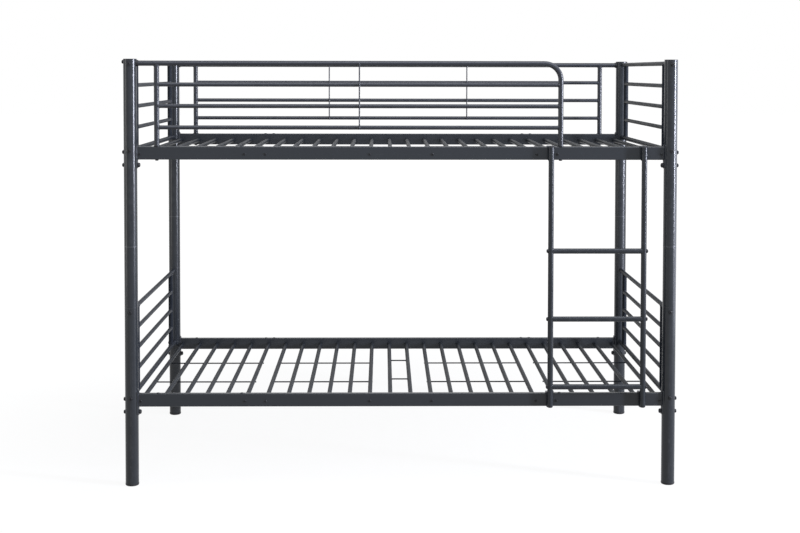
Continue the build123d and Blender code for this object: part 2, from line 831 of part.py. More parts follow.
for bed, bed_top in rail_tops.items():
    build_panel(f"{bed}_end_panel_left", -post_x, bed_top)
    build_panel(f"{bed}_end_panel_right", post_x, bed_top)
    build_rail(f"{bed}_side_rail_front", bed, -1)
    build_rail(f"{bed}_side_rail_back", bed, 1)
    for number, group_xs in enumerate(slat_groups, 1):
        build_slats(f"{bed}_slat_panel_{number}", group_xs, bed_top)
    build_slat_screws(f"{bed}_slat_screws", bed_top)
    build_rail_bolts(f"{bed}_rail_bolts", bed_top)
    build_rail_nuts(f"{bed}_rail_dome_nuts", bed_top)
    build_panel_bolts(f"{bed}_panel_bolts", bed_top)
    build_inserts(f"{bed}_thread_inserts", bed)
    build_plugs(f"{bed}_rail_plugs", bed)

build_front_guard_frame()
build_front_guard_infill()
build_back_guard()
build_guard_bolts()
build_guard_spacers()

for stile_side, stile_x in stile_xs.items():
    build_stile(f"ladder_stile_{stile_side}", stile_x)
for number, rung_level in enumerate(rung_levels, 1):
    build_rung(f"ladder_rung_{number}", rung_level)
build_stile_caps()
build_rung_bolts()
build_hooks()
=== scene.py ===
# %% [markdown]
# # A metal bunk bed, dressed for the camera
# The bed is bought as flat-packed steel tube: posts, rails, barred end panels, slatted decks,
# guards and a hook-on ladder, all powder coated in one dark graphite colour.
# The measured model already holds every tube and bolt in its place, in metres, with the origin
# on the floor between the four posts. This notebook adds what the eye needs next: the camera,
# the light, the coating, and the small shapes that a shop makes by hand, such as welds.

# %% Load the measured model
import math

import bmesh
import bpy
from mathutils import Matrix, Vector


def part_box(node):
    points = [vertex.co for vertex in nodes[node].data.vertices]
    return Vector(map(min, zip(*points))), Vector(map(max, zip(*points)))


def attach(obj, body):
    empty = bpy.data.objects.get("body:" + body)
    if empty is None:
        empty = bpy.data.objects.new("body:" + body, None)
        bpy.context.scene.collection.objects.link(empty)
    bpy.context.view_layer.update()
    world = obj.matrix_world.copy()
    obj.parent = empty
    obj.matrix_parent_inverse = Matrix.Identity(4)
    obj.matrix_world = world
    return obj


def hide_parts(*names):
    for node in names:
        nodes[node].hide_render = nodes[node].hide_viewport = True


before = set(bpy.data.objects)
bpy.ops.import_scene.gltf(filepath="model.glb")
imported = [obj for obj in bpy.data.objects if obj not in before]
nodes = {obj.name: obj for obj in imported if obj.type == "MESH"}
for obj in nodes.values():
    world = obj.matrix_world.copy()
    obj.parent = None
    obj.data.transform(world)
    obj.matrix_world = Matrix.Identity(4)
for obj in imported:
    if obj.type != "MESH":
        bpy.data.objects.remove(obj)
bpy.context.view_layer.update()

# %% [markdown]
# ## Camera
# The photograph was taken from a little above the upper bed, a good five metres away, and the
# picture was then cropped so that the level view sits high in the frame. A lens shift does the
# same here without bending the verticals. The camera's axes are written out from its small
# yaw, pitch and roll, because three plain vectors are easier to check than a chain of turns.

# %% Place the camera
# Pixels of the photograph
photo_width = 800
photo_height = 533
focal_pixels = 1340.95
level_row = 121.36
# Millimetres, metres and radians
sensor_mm = 36
camera_place = Vector((-0.06546, -5.2839, 1.4861))
yaw = -0.0128
pitch = 0.0370
roll = 0.0015

level_ahead = Vector((-math.sin(yaw), math.cos(yaw), 0))
level_right = Vector((math.cos(yaw), math.sin(yaw), 0))
straight_up = Vector((0, 0, 1))
ahead = level_ahead * math.cos(pitch) - straight_up * math.sin(pitch)
tilted_up = straight_up * math.cos(pitch) + level_ahead * math.sin(pitch)
picture_right = level_right * math.cos(roll) + tilted_up * math.sin(roll)
picture_up = tilted_up * math.cos(roll) - level_right * math.sin(roll)

camera_data = bpy.data.cameras.new("photo_camera")
camera_data.sensor_width = sensor_mm
camera_data.lens = focal_pixels / photo_width * sensor_mm
camera_data.shift_y = -(photo_height / 2 - level_row) / photo_width
camera = bpy.data.objects.new("photo_camera", camera_data)
bpy.context.scene.collection.objects.link(camera)
camera.matrix_world = Matrix.Translation(camera_place) @ Matrix(
    (picture_right, picture_up, -ahead)
).transposed().to_4x4()
bpy.context.scene.camera = camera
bpy.context.scene.view_settings.view_transform = "Standard"
print("lens", round(camera_data.lens, 2), "mm, shift", round(camera_data.shift_y, 4))

# %% [markdown]
# ## Light
# Dark glossy tube is drawn by what it reflects. The photograph shows one crisp pale line on the
# right of each post, so a tall soft strip stands far off to the front right. The right-hand
# posts also glow along their right edge, which needs a second strip close to that end. A third,
# weak strip on the far left gives the left posts their thin second line.
# Slats and rail tops are brighter than their sides, so a large soft panel hangs above.
# Area lamps are used for all of them, because their size sets how wide each highlight is.


# %% Make a soft lamp that faces a point
def soft_lamp(name, place, target, width, height, watts, colour):
    """An area lamp at `place`, `width` by `height` metres, that the camera can't see."""
    data = bpy.data.lights.new(name, "AREA")
    data.shape = "RECTANGLE"
    data.size = width
    data.size_y = height
    data.energy = watts
    data.color = colour
    lamp = bpy.data.objects.new(name, data)
    bpy.context.scene.collection.objects.link(lamp)
    lamp.location = place
    facing = Vector(target) - Vector(place)
    lamp.rotation_euler = facing.to_track_quat("-Z", "Y").to_euler()
    lamp.visible_camera = False
    print(name, "at", place, watts, "W")


soft_lamp("far_right_strip", (7.6, -3.1, 2.1), (0, 0, 1.2), 0.6, 3.4, 1250, (0.82, 0.86, 1.0))
soft_lamp("near_right_strip", (1.9, -0.4, 1.4), (0.95, -0.5, 1.3), 1.1, 2.1, 20, (0.80, 0.85, 1.0))
soft_lamp("left_strip", (-3.7, -1.45, 1.5), (-0.9, -0.4, 1.2), 0.5, 2.6, 22, (1.0, 0.99, 0.96))
soft_lamp("overhead_panel", (0.3, -1.4, 3.1), (0, 0, 1.0), 3.6, 1.6, 88, (0.85, 0.90, 1.0))

# %% [markdown]
# ## White surround and floor
# The photograph's ground is plain white paper. The world and the floor show that white to the
# camera and to every mirror or glass ray, so the coating reflects the same white room that the
# picture shows. All other rays, which carry the soft light from surface to surface, meet a
# dimmer world and a plain pale floor, so white surroundings do not wash out dark metal.
# Near the bed the floor's white is mixed with a little real paper, which keeps the bed's faint
# shadow; further off the paper is plain white, so no horizon shows.


# %% Tell the rays that see the white apart
def sees_white(tree):
    path = tree.nodes.new("ShaderNodeLightPath")
    either = tree.nodes.new("ShaderNodeMath")
    either.operation = "MAXIMUM"
    any_of_three = tree.nodes.new("ShaderNodeMath")
    any_of_three.operation = "MAXIMUM"
    tree.links.new(path.outputs["Is Camera Ray"], either.inputs[0])
    tree.links.new(path.outputs["Is Glossy Ray"], either.inputs[1])
    tree.links.new(either.outputs[0], any_of_three.inputs[0])
    tree.links.new(path.outputs["Is Transmission Ray"], any_of_three.inputs[1])
    return any_of_three.outputs[0]


# %% Build the surround
world = bpy.data.worlds.new("studio")
bpy.context.scene.world = world
world.use_nodes = True
sky = world.node_tree
sky.nodes.clear()
shown_white = sky.nodes.new("ShaderNodeBackground")
shown_white.inputs["Color"].default_value = (1, 1, 1, 1)
dim_fill = sky.nodes.new("ShaderNodeBackground")
dim_fill.inputs["Color"].default_value = (0.95, 0.98, 1.0, 1)
dim_fill.inputs["Strength"].default_value = 0.20
choose = sky.nodes.new("ShaderNodeMixShader")
sky_out = sky.nodes.new("ShaderNodeOutputWorld")
sky.links.new(sees_white(sky), choose.inputs[0])
sky.links.new(dim_fill.outputs[0], choose.inputs[1])
sky.links.new(shown_white.outputs[0], choose.inputs[2])
sky.links.new(choose.outputs[0], sky_out.inputs["Surface"])
print("surround: white where it is seen, a fill of", dim_fill.inputs["Strength"].default_value)


# %% Cut the floor sheet
def flat_sheet(name, reach):
    """A level square at z = 0 that reaches `reach` metres each way."""
    mesh = bpy.data.meshes.new(name)
    corners = [(-reach, -reach, 0), (reach, -reach, 0), (reach, reach, 0), (-reach, reach, 0)]
    mesh.from_pydata(corners, [], [(0, 1, 2, 3)])
    sheet = bpy.data.objects.new(name, mesh)
    bpy.context.scene.collection.objects.link(sheet)
    return sheet


floor_reach = 40
floor = flat_sheet("studio_floor", floor_reach)
print("floor laid at z = 0")

# %% Give the floor its paper
near_distance = 1.2
far_distance = 3.0
near_white_share = 0.90
near_glow = 1.016
far_glow = 1.06

paper = bpy.data.materials.new("white_paper_floor")
paper.use_nodes = True
sheet_nodes = paper.node_tree
sheet_nodes.nodes.clear()
plain_paper = sheet_nodes.nodes.new("ShaderNodeBsdfDiffuse")
plain_paper.inputs["Color"].default_value = (0.24, 0.24, 0.235, 1)
shadow_paper = sheet_nodes.nodes.new("ShaderNodeBsdfDiffuse")
shadow_paper.inputs["Color"].default_value = (0.85, 0.85, 0.85, 1)
glow = sheet_nodes.nodes.new("ShaderNodeEmission")
glow.inputs["Color"].default_value = (1, 1, 1, 1)
seen_paper = sheet_nodes.nodes.new("ShaderNodeMixShader")
from_bed = sheet_nodes.nodes.new("ShaderNodeVectorMath")
from_bed.operation = "LENGTH"
floor_point = sheet_nodes.nodes.new("ShaderNodeTexCoord")
sheet_nodes.links.new(floor_point.outputs["Object"], from_bed.inputs[0])
for socket, near_value, far_value in (
    (seen_paper.inputs[0], near_white_share, 1.0),
    (glow.inputs["Strength"], near_glow, far_glow),
):
    by_distance = sheet_nodes.nodes.new("ShaderNodeMapRange")
    by_distance.inputs["From Min"].default_value = near_distance
    by_distance.inputs["From Max"].default_value = far_distance
    by_distance.inputs["To Min"].default_value = near_value
    by_distance.inputs["To Max"].default_value = far_value
    sheet_nodes.links.new(from_bed.outputs["Value"], by_distance.inputs["Value"])
    sheet_nodes.links.new(by_distance.outputs["Result"], socket)
floor_choose = sheet_nodes.nodes.new("ShaderNodeMixShader")
floor_out = sheet_nodes.nodes.new("ShaderNodeOutputMaterial")
sheet_nodes.links.new(shadow_paper.outputs[0], seen_paper.inputs[1])
sheet_nodes.links.new(glow.outputs[0], seen_paper.inputs[2])
sheet_nodes.links.new(sees_white(sheet_nodes), floor_choose.inputs[0])
sheet_nodes.links.new(plain_paper.outputs[0], floor_choose.inputs[1])
sheet_nodes.links.new(seen_paper.outputs[0], floor_choose.inputs[2])
sheet_nodes.links.new(floor_choose.outputs[0], floor_out.inputs["Surface"])
floor.data.materials.append(paper)
print("floor paper:", len(sheet_nodes.nodes), "nodes")

# %% [markdown]
# ## Shared surface effects
# Several finishes on the bed share the same small truths: paint is never quite even, corners
# wear first, dust settles on whatever faces up, and hands leave duller patches.
# Each effect is built once as a node group with named sockets, and every material then places
# it with its own numbers. The groups give out only colours, masks and heights; the shader that
# turns them into light stays in the material.


# %% A helper that starts a node group
def new_group(name, inputs, outputs):
    group = bpy.data.node_groups.new(name, "ShaderNodeTree")
    for socket_name, kind, value in inputs:
        made = group.interface.new_socket(name=socket_name, in_out="INPUT", socket_type=kind)
        made.default_value = value
    for socket_name, kind in outputs:
        group.interface.new_socket(name=socket_name, in_out="OUTPUT", socket_type=kind)
    return group, group.nodes.new("NodeGroupInput"), group.nodes.new("NodeGroupOutput")


def math_node(tree, operation, first, second=None, clamp=False):
    node = tree.nodes.new("ShaderNodeMath")
    node.operation = operation
    node.use_clamp = clamp
    for socket, value in zip(node.inputs, (first, second)):
        if value is None:
            continue
        if isinstance(value, (int, float)):
            socket.default_value = value
        else:
            tree.links.new(value, socket)
    return node.outputs[0]


def noise_node(tree, place, scale, detail, roughness=0.5):
    node = tree.nodes.new("ShaderNodeTexNoise")
    node.inputs["Detail"].default_value = detail
    node.inputs["Roughness"].default_value = roughness
    tree.links.new(place, node.inputs["Vector"])
    if isinstance(scale, (int, float)):
        node.inputs["Scale"].default_value = scale
    else:
        tree.links.new(scale, node.inputs["Scale"])
    return node.outputs["Fac"]


def spread(tree, value, low, high, new_low=0.0, new_high=1.0):
    node = tree.nodes.new("ShaderNodeMapRange")
    ends = (("From Min", low), ("From Max", high), ("To Min", new_low), ("To Max", new_high))
    for socket_name, number in ends:
        if isinstance(number, (int, float)):
            node.inputs[socket_name].default_value = number
        else:
            tree.links.new(number, node.inputs[socket_name])
    tree.links.new(value, node.inputs["Value"])
    return node.outputs["Result"]


def mix_colour(tree, factor, first, second):
    node = tree.nodes.new("ShaderNodeMix")
    node.data_type = "RGBA"
    tree.links.new(factor, node.inputs[0])
    for socket, value in ((node.inputs[6], first), (node.inputs[7], second)):
        if isinstance(value, tuple):
            socket.default_value = value
        else:
            tree.links.new(value, socket)
    return node.outputs[2]


# %% [markdown]
# ### Powder coat
# Powder is sprayed on dry and melts in an oven, so it levels out less than wet paint: the skin
# keeps a fine pebbly bump, called orange peel, and its tone drifts a little from place to place.
# Two layers of noise give that, a fine one for the bump and a broad one for the tone and gloss.

# %% Powder coat group
powder_group, gin, gout = new_group(
    "powder_coat_skin",
    [
        ("Colour", "NodeSocketColor", (0.05, 0.05, 0.06, 1)),
        ("Tone Drift", "NodeSocketFloat", 0.1),
        ("Pebble Scale", "NodeSocketFloat", 700.0),
        ("Gloss Low", "NodeSocketFloat", 0.3),
        ("Gloss High", "NodeSocketFloat", 0.4),
    ],
    [("Colour", "NodeSocketColor"), ("Roughness", "NodeSocketFloat"), ("Height", "NodeSocketFloat")],
)
place = powder_group.nodes.new("ShaderNodeTexCoord").outputs["Object"]
broad = noise_node(powder_group, place, 5.5, 3.0)
middling = noise_node(powder_group, place, 60.0, 2.0)
pebble = noise_node(powder_group, place, gin.outputs["Pebble Scale"], 1.5)
broad_share = math_node(powder_group, "MULTIPLY", broad, 0.7)
middling_share = math_node(powder_group, "MULTIPLY", middling, 0.3)
drift = math_node(powder_group, "ADD", broad_share, middling_share)
shade_low = math_node(powder_group, "SUBTRACT", 1.0, gin.outputs["Tone Drift"])
shade_high = math_node(powder_group, "ADD", 1.0, gin.outputs["Tone Drift"])
shade = spread(powder_group, drift, 0.3, 0.7, shade_low, shade_high)
tint = powder_group.nodes.new("ShaderNodeVectorMath")
tint.operation = "SCALE"
powder_group.links.new(gin.outputs["Colour"], tint.inputs[0])
powder_group.links.new(shade, tint.inputs["Scale"])
powder_group.links.new(tint.outputs[0], gout.inputs["Colour"])
gloss = spread(powder_group, drift, 0.35, 0.65, gin.outputs["Gloss Low"], gin.outputs["Gloss High"])
powder_group.links.new(gloss, gout.inputs["Roughness"])
powder_group.links.new(pebble, gout.inputs["Height"])
print("powder coat group has", len(powder_group.nodes), "nodes")

# %% [markdown]
# ### Corner wear
# Paint thins over a sharp edge and is rubbed there first. Blender's pointiness is high where a
# surface bends outwards, so it marks the bolt rims and tube ends; noise breaks the line up so
# that the wear looks like use and not like an outline.

# %% Corner wear group
wear_group, gin, gout = new_group(
    "corner_wear",
    [("Amount", "NodeSocketFloat", 0.5), ("Patch Scale", "NodeSocketFloat", 40.0)],
    [("Mask", "NodeSocketFloat")],
)
place = wear_group.nodes.new("ShaderNodeTexCoord").outputs["Object"]
bend = wear_group.nodes.new("ShaderNodeNewGeometry").outputs["Pointiness"]
edge = spread(wear_group, bend, 0.62, 0.80)
rubbing = noise_node(wear_group, place, gin.outputs["Patch Scale"], 4.0, 0.6)
patchy = spread(wear_group, rubbing, 0.45, 0.62)
broken_edge = math_node(wear_group, "MULTIPLY", edge, patchy)
worn = math_node(wear_group, "MULTIPLY", broken_edge, gin.outputs["Amount"], True)
wear_group.links.new(worn, gout.inputs["Mask"])
print("corner wear group made")

# %% [markdown]
# ### Settled dust
# Dust lies only on what faces up, and a little unevenly. The mask is the upward part of the
# surface's normal, broken up by noise. It stays faint, because the bed in the photograph is new.

# %% Settled dust group
dust_group, gin, gout = new_group(
    "settled_dust",
    [("Amount", "NodeSocketFloat", 0.2), ("Patch Scale", "NodeSocketFloat", 12.0)],
    [("Mask", "NodeSocketFloat")],
)
place = dust_group.nodes.new("ShaderNodeTexCoord").outputs["Object"]
lean = dust_group.nodes.new("ShaderNodeSeparateXYZ")
surface = dust_group.nodes.new("ShaderNodeNewGeometry")
dust_group.links.new(surface.outputs["Normal"], lean.inputs[0])
facing_up = spread(dust_group, lean.outputs["Z"], 0.55, 1.0)
fall = noise_node(dust_group, place, gin.outputs["Patch Scale"], 5.0, 0.65)
drifted = spread(dust_group, fall, 0.3, 0.75)
uneven = math_node(dust_group, "MULTIPLY", facing_up, drifted)
settled = math_node(dust_group, "MULTIPLY", uneven, gin.outputs["Amount"], True)
dust_group.links.new(settled, gout.inputs["Mask"])
print("settled dust group made")

# %% [markdown]
# ### Moulded plastic grain
# Feet, caps and plugs are moulded in black polyethylene. The mould is spark-eroded, which
# leaves a fine leathery grain, so small cells from a Voronoi texture are mixed with noise.

# %% Moulded grain group
grain_group, gin, gout = new_group(
    "moulded_grain",
    [("Colour", "NodeSocketColor", (0.02, 0.02, 0.02, 1)), ("Grain Scale", "NodeSocketFloat", 900.0)],
    [("Colour", "NodeSocketColor"), ("Roughness", "NodeSocketFloat"), ("Height", "NodeSocketFloat")],
)
place = grain_group.nodes.new("ShaderNodeTexCoord").outputs["Object"]
cells = grain_group.nodes.new("ShaderNodeTexVoronoi")
cells.feature = "SMOOTH_F1"
grain_group.links.new(place, cells.inputs["Vector"])
grain_group.links.new(gin.outputs["Grain Scale"], cells.inputs["Scale"])
blotch = noise_node(grain_group, place, 25.0, 3.0)
fleck = spread(grain_group, blotch, 0.3, 0.7, 0.85, 1.2)
tint = grain_group.nodes.new("ShaderNodeVectorMath")
tint.operation = "SCALE"
grain_group.links.new(gin.outputs["Colour"], tint.inputs[0])
grain_group.links.new(fleck, tint.inputs["Scale"])
grain_group.links.new(tint.outputs[0], gout.inputs["Colour"])
grain_group.links.new(spread(grain_group, blotch, 0.3, 0.7, 0.42, 0.6), gout.inputs["Roughness"])
grain_group.links.new(cells.outputs["Distance"], gout.inputs["Height"])
print("moulded grain group made")


# %% [markdown]
# ## Finishes
# Each finish is a Principled shader fed by the groups. What is the same all over a surface,
# such as the sheen of its clear top skin, is set on the shader itself.


# %% A helper that puts the groups together
def place_group(tree, group, **values):
    node = tree.nodes.new("ShaderNodeGroup")
    node.node_tree = group
    for name, value in values.items():
        node.inputs[name.replace("_", " ")].default_value = value
    return node


def place_powder(tree, colour, drift, pebble, gloss):
    """The powder coat group with its colour, unevenness, pebble scale and two roughnesses."""
    node = place_group(tree, powder_group, Colour=colour, Tone_Drift=drift, Pebble_Scale=pebble)
    node.inputs["Gloss Low"].default_value = gloss[0]
    node.inputs["Gloss High"].default_value = gloss[1]
    return node


def start_finish(name):
    finish = bpy.data.materials.new(name)
    finish.use_nodes = True
    tree = finish.node_tree
    return finish, tree, tree.nodes["Principled BSDF"]


def add_bump(tree, shader, height, strength, distance):
    bump = tree.nodes.new("ShaderNodeBump")
    bump.inputs["Strength"].default_value = strength
    bump.inputs["Distance"].default_value = distance
    tree.links.new(height, bump.inputs["Height"])
    tree.links.new(bump.outputs["Normal"], shader.inputs["Normal"])


bared_steel = (0.12, 0.12, 0.125, 1)
house_dust = (0.30, 0.29, 0.28, 1)


def coated_steel(name, colour, drift, gloss, pebble, wear, dust, sheen):
    """Powder-coated steel, with its own evenness, gloss, pebble size, wear, dust and sheen."""
    finish, tree, shader = start_finish(name)
    skin = place_powder(tree, colour, drift, pebble, gloss)
    worn = place_group(tree, wear_group, Amount=wear, Patch_Scale=45.0)
    dusty = place_group(tree, dust_group, Amount=dust, Patch_Scale=14.0)
    bared = mix_colour(tree, worn.outputs["Mask"], skin.outputs["Colour"], bared_steel)
    dusted = mix_colour(tree, dusty.outputs["Mask"], bared, house_dust)
    tree.links.new(dusted, shader.inputs["Base Color"])
    dust_roughness = math_node(tree, "MULTIPLY", dusty.outputs["Mask"], 0.35)
    dulled = math_node(tree, "ADD", skin.outputs["Roughness"], dust_roughness, True)
    tree.links.new(dulled, shader.inputs["Roughness"])
    add_bump(tree, shader, skin.outputs["Height"], strength=0.12, distance=0.0004)
    shader.inputs["Specular IOR Level"].default_value = sheen
    print("finish", name)
    return finish


def moulded_plastic(name, colour, grain, dust):
    """Black moulded plastic, with its own colour, grain size and dust."""
    finish, tree, shader = start_finish(name)
    skin = place_group(tree, grain_group, Colour=colour, Grain_Scale=grain)
    dusty = place_group(tree, dust_group, Amount=dust, Patch_Scale=30.0)
    dusted = mix_colour(tree, dusty.outputs["Mask"], skin.outputs["Colour"], (0.2, 0.2, 0.2, 1))
    tree.links.new(dusted, shader.inputs["Base Color"])
    tree.links.new(skin.outputs["Roughness"], shader.inputs["Roughness"])
    add_bump(tree, shader, skin.outputs["Height"], strength=0.25, distance=0.0003)
    shader.inputs["Specular IOR Level"].default_value = 0.25
    print("finish", name)
    return finish


# %% [markdown]
# ### Graphite coat for posts, rails, bars and slats
# The parts are coated in one graphite colour. Each family gets slightly different numbers, all
# set by comparing the picture with the photograph: posts are smooth and glossy, rails a touch
# duller. The guard bars get a paler copy of the graphite, which is painted light that brightens
# them. Slats and end panels have very little sheen, less than real powder coat has, because the
# white surround would otherwise wash them out at a low angle.

# %% Graphite finishes
graphite = (0.0150, 0.0175, 0.0215, 1)
# Paler copy of the graphite for the guard bars: painted light that brightens them, not a different
# paint
bar_graphite_painted_lighter = (0.0195, 0.0215, 0.0275, 1)
panel_graphite = (0.0165, 0.0190, 0.0240, 1)
weld_graphite = (0.024, 0.025, 0.03, 1)

# Colour, tone drift, roughness from and to, pebble scale, wear, dust, sheen
coats = {
    family: coated_steel(f"graphite_coat_{family}", *numbers)
    for family, numbers in {
        "posts": (graphite, 0.03, (0.21, 0.25), 650.0, 0.5, 0.02, 0.33),
        "rails": (graphite, 0.03, (0.30, 0.35), 560.0, 0.5, 0.03, 0.35),
        "bars": (bar_graphite_painted_lighter, 0.03, (0.24, 0.28), 720.0, 0.45, 0.02, 0.30),
        "panels": (panel_graphite, 0.03, (0.32, 0.38), 720.0, 0.45, 0.01, 0.025),
        "slats": (graphite, 0.04, (0.38, 0.45), 620.0, 0.4, 0.02, 0.045),
        "ladder": (graphite, 0.03, (0.22, 0.27), 700.0, 0.6, 0.02, 0.25),
        "welds": (weld_graphite, 0.08, (0.26, 0.36), 480.0, 0.5, 0.02, 0.25),
    }.items()
}
weld_coat = coats["welds"]

# %% [markdown]
# ### Black plastic and black bolts
# The feet and plugs are grained plastic. The bolts are black-oxide steel: metal under a thin
# dark skin that wears bright at the rim of the head and of its socket.

# %% Black finishes
foot_plastic = moulded_plastic("black_foot_plastic", (0.012, 0.012, 0.014, 1), 850.0, 0.08)
cap_plastic = moulded_plastic("black_cap_plastic", (0.014, 0.014, 0.016, 1), 1100.0, 0.08)

black_bolt, bolt_tree, bolt_shader = start_finish("black_bolt_steel")
bolt_skin = place_powder(bolt_tree, (0.016, 0.016, 0.018, 1), 0.2, 1500.0, (0.28, 0.42))
bolt_worn = place_group(bolt_tree, wear_group, Amount=0.8, Patch_Scale=220.0)
bolt_bare = (0.30, 0.30, 0.31, 1)
bolt_colour = mix_colour(bolt_tree, bolt_worn.outputs["Mask"], bolt_skin.outputs["Colour"], bolt_bare)
bolt_tree.links.new(bolt_colour, bolt_shader.inputs["Base Color"])
bolt_tree.links.new(bolt_skin.outputs["Roughness"], bolt_shader.inputs["Roughness"])
bolt_tree.links.new(bolt_worn.outputs["Mask"], bolt_shader.inputs["Metallic"])
add_bump(bolt_tree, bolt_shader, bolt_skin.outputs["Height"], strength=0.15, distance=0.0002)
bolt_shader.inputs["Specular IOR Level"].default_value = 0.2
print("finish", black_bolt.name)

# %% [markdown]
# ### Zinc on what is hidden
# The thread inserts are bright zinc plate, faintly mottled. They and the joining tubes are out of
# sight, so their finish is a guess. Only a thin collar of each joining tube shows at a seam. It
# is a faint line in the photograph, paler at the upper seam than at the lower one. The joining
# tubes get two dark copies of one zinc to match it: the paler upper one is a painted highlight
# line, the darker lower one is painted shade in the seam.

# %% Zinc finishes
def zinc_plate(name, colour, drift, gloss):
    """Zinc plate on steel, with its own colour, mottle and gloss."""
    finish, tree, shader = start_finish(name)
    skin = place_powder(tree, colour, drift, 240.0, gloss)
    tree.links.new(skin.outputs["Colour"], shader.inputs["Base Color"])
    tree.links.new(skin.outputs["Roughness"], shader.inputs["Roughness"])
    add_bump(tree, shader, skin.outputs["Height"], strength=0.1, distance=0.0002)
    shader.inputs["Metallic"].default_value = 1.0
    print("finish", name)
    return finish


zinc = zinc_plate("bright_zinc_plate", (0.55, 0.56, 0.58, 1), 0.12, (0.25, 0.42))
# Two copies of one zinc: the paler one paints the highlight line at the upper seam, the darker one
# paints shade in the lower seam
zinc_painted_seam_light = zinc_plate("zinc_plate_painted_seam_light", (0.10, 0.10, 0.11, 1), 0.15, (0.35, 0.5))
zinc_painted_seam_shade = zinc_plate("zinc_plate_painted_seam_shade", (0.045, 0.046, 0.05, 1), 0.15, (0.3, 0.45))

# %% [markdown]
# ## Dressing the measured pieces
# Every piece of the measured model keeps its shape and gets the finish of its family. The name
# says which family it is, so one small table of word and finish is enough.

# %% Give each measured piece its finish
families = [
    ("thread_inserts", zinc),
    # The spigots' two zinc shades are a painted highlight at the upper seam and painted shade at the
    # lower seam
    ("upper_spigots", zinc_painted_seam_light),
    ("lower_spigots", zinc_painted_seam_shade),
    ("dome_nuts", cap_plastic),
    ("rail_plugs", cap_plastic),
    ("foot_caps", foot_plastic),
    ("top_caps", cap_plastic),
    ("end_caps", cap_plastic),
    ("guard_spacers", cap_plastic),
    ("bolts", black_bolt),
    ("screws", black_bolt),
    ("side_rail", coats["rails"]),
    ("slat_panel", coats["slats"]),
    ("end_panel", coats["panels"]),
    ("guard", coats["bars"]),
    ("ladder", coats["ladder"]),
    ("post", coats["posts"]),
    ("middle_tube", coats["posts"]),
]


def family_finish(node_name):
    for word, finish in families:
        if word in node_name:
            return finish
    raise ValueError(node_name)


for node_name, piece in nodes.items():
    finish = family_finish(node_name)
    if not piece.data.materials:
        piece.data.materials.append(finish)
    for index in range(len(piece.data.materials)):
        piece.data.materials[index] = finish
print("finishes given to", len(nodes), "pieces")

# %% [markdown]
# ## Weld beads
# The panels, guards and decks are welded, and every joint shows a small rounded bead under the
# coat. A welder lays such a bead as a row of overlapping puddles, so it swells every three
# millimetres or so. A bead is a ring of points swept along the line where two tubes meet, and
# the ring grows and shrinks with the distance travelled. Half of it sinks into the tubes, as a
# real bead melts into them.

# %% Tools that lay a bead
mm = 0.001
along_x = Vector((1, 0, 0))
along_y = Vector((0, 1, 0))
along_z = Vector((0, 0, 1))
beds = (("lower", "lower_bed"), ("upper", "upper_bunk"))
bar_bead = 1.5 * mm
upright_bead = 1.6 * mm
wire_bead = 1.1 * mm
hook_bead = 1.4 * mm
tack_length = 7 * mm


def add_bead(shape, line, radius, middle, closed=True, ripple=0.13, puddle=3 * mm, sides=7):
    """Sweep a bead along a line of points; `middle` is a point that the line bends round."""
    rings = []
    travelled = 0.0
    last = len(line) - 1
    for index, point in enumerate(line):
        before = line[index - 1] if closed or index > 0 else point
        after = line[(index + 1) % len(line)] if closed or index < last else point
        along = (after - before).normalized()
        out = point - middle
        out = (out - along * out.dot(along)).normalized()
        across = along.cross(out)
        size = radius * (1 + ripple * math.cos(math.tau * travelled / puddle))
        if not closed:
            size *= math.sqrt(max(1 - (2 * index / last - 1) ** 4, 0.08))
        ring = []
        for k in range(sides):
            turn = math.tau * k / sides
            offset = out * size * math.cos(turn) + across * size * math.sin(turn)
            ring.append(shape.verts.new(point + offset))
        rings.append(ring)
        travelled += (after - point).length
    pairs = list(zip(rings, rings[1:]))
    if closed:
        pairs.append((rings[-1], rings[0]))
    else:
        shape.faces.new(rings[0])
        shape.faces.new(rings[-1])
    for first, second in pairs:
        for k in range(sides):
            n = (k + 1) % sides
            shape.faces.new((first[k], first[n], second[n], second[k]))


def joint_line(centre, bar_way, through_way, bar_radius, through_radius, steps=40):
    """The saddle line where the end of one tube meets the side of another."""
    aside_way = bar_way.cross(through_way)
    line = []
    for step in range(steps):
        turn = math.tau * step / steps
        aside = bar_radius * math.sin(turn)
        reach = math.sqrt(max(through_radius**2 - aside**2, (0.4 * through_radius) ** 2))
        through = bar_radius * math.cos(turn)
        line.append(centre + aside_way * aside + through_way * through + bar_way * reach)
    return line


def weld_joint(shape, centre, bar_way, through_way, bar_radius, through_radius, size):
    line = joint_line(centre, bar_way, through_way, bar_radius, through_radius)
    add_bead(shape, line, size, centre + bar_way * through_radius)


def weld_tack(shape, centre, way, length, size, middle):
    """A short open bead, such as the ones that hold a thin wire."""
    line = [centre + way * length * (k / 8 - 0.5) for k in range(9)]
    add_bead(shape, line, size, middle, closed=False)


def finish_piece(name, shape, finish, body):
    bmesh.ops.recalc_face_normals(shape, faces=shape.faces)
    mesh = bpy.data.meshes.new(name)
    shape.to_mesh(mesh)
    shape.free()
    for face in mesh.polygons:
        face.use_smooth = True
    mesh.materials.append(finish)
    piece = bpy.data.objects.new(name, mesh)
    bpy.context.scene.collection.objects.link(piece)
    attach(piece, body)
    print(name, "made:", len(mesh.polygons), "faces")
    return piece


# %% [markdown]
# ### End panel welds
# Each end panel is five bars and two uprights, so it has ten joints. A thin bar's end is cut as
# a saddle that fits round the upright, and the bead follows that saddle. The tube sizes are
# written here once, and the levels are taken from the measured panel's own box.

# %% Weld the end panels
panel_bar = 7.5 * mm
panel_side = 9.5 * mm
panel_bottom = 9 * mm
panel_top = 8 * mm
panel_side_y = 388 * mm
bar_share = 0.245
middle_share = 0.495


